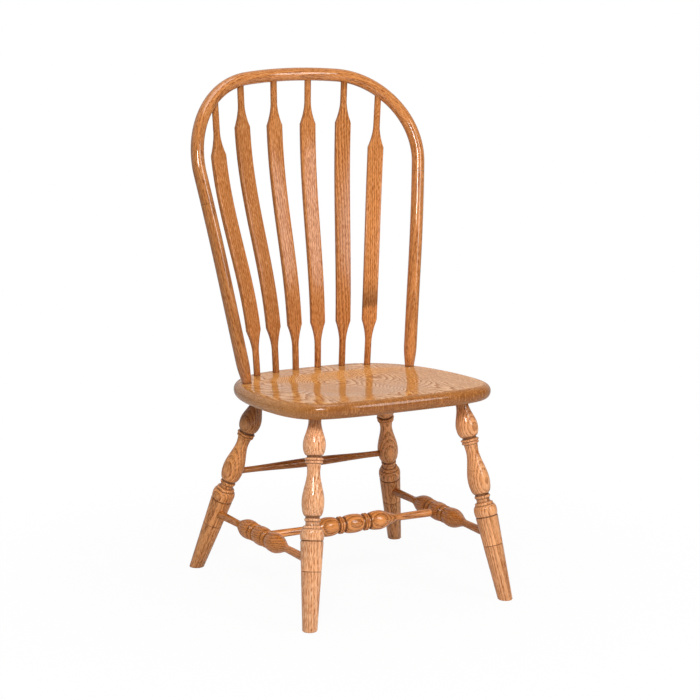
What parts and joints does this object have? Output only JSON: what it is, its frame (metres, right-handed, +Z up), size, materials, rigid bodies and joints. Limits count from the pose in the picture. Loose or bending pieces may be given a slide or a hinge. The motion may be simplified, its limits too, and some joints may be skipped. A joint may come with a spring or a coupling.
{
  "type": "dining chair",
  "caption": "Oak bow-back dining chair with a saddled seat, splayed turned legs joined by turned stretchers, and bent spindles with flat paddles.",
  "frame": {"origin": "centre of the bounding box at floor level, between the four feet", "axes": "+Z up, -Y towards the front of the seat, +X to the right as seen from the front"},
  "size_m": [0.5626, 0.5823, 1.0993],
  "materials": {
    "seat_oak": "satin-gloss lacquer on oak",
    "bow_oak": "satin-gloss lacquer on bent oak",
    "spindle_oak": "satin lacquer on oak",
    "leg_oak": "satin-gloss lacquer on turned oak",
    "stretcher_oak": "satin-gloss lacquer on turned oak",
    "wedge_wood": "bare hardwood, not lacquered"
  },
  "bodies": {
    "root": {"seat": "seat_oak", "bow": "bow_oak", "spindle_1": "spindle_oak", "spindle_2": "spindle_oak", "spindle_3": "spindle_oak", "spindle_4": "spindle_oak", "spindle_5": "spindle_oak", "spindle_6": "spindle_oak", "leg_front_left": "leg_oak", "leg_front_right": "leg_oak", "leg_rear_left": "leg_oak", "leg_rear_right": "leg_oak", "side_stretcher_left": "stretcher_oak", "side_stretcher_right": "stretcher_oak", "centre_stretcher": "stretcher_oak", "rear_stretcher": "stretcher_oak", "leg_wedge_front_left": "wedge_wood", "leg_wedge_front_right": "wedge_wood", "leg_wedge_rear_left": "wedge_wood", "leg_wedge_rear_right": "wedge_wood", "bow_wedge_left": "wedge_wood", "bow_wedge_right": "wedge_wood"}
  },
  "joints": []
}
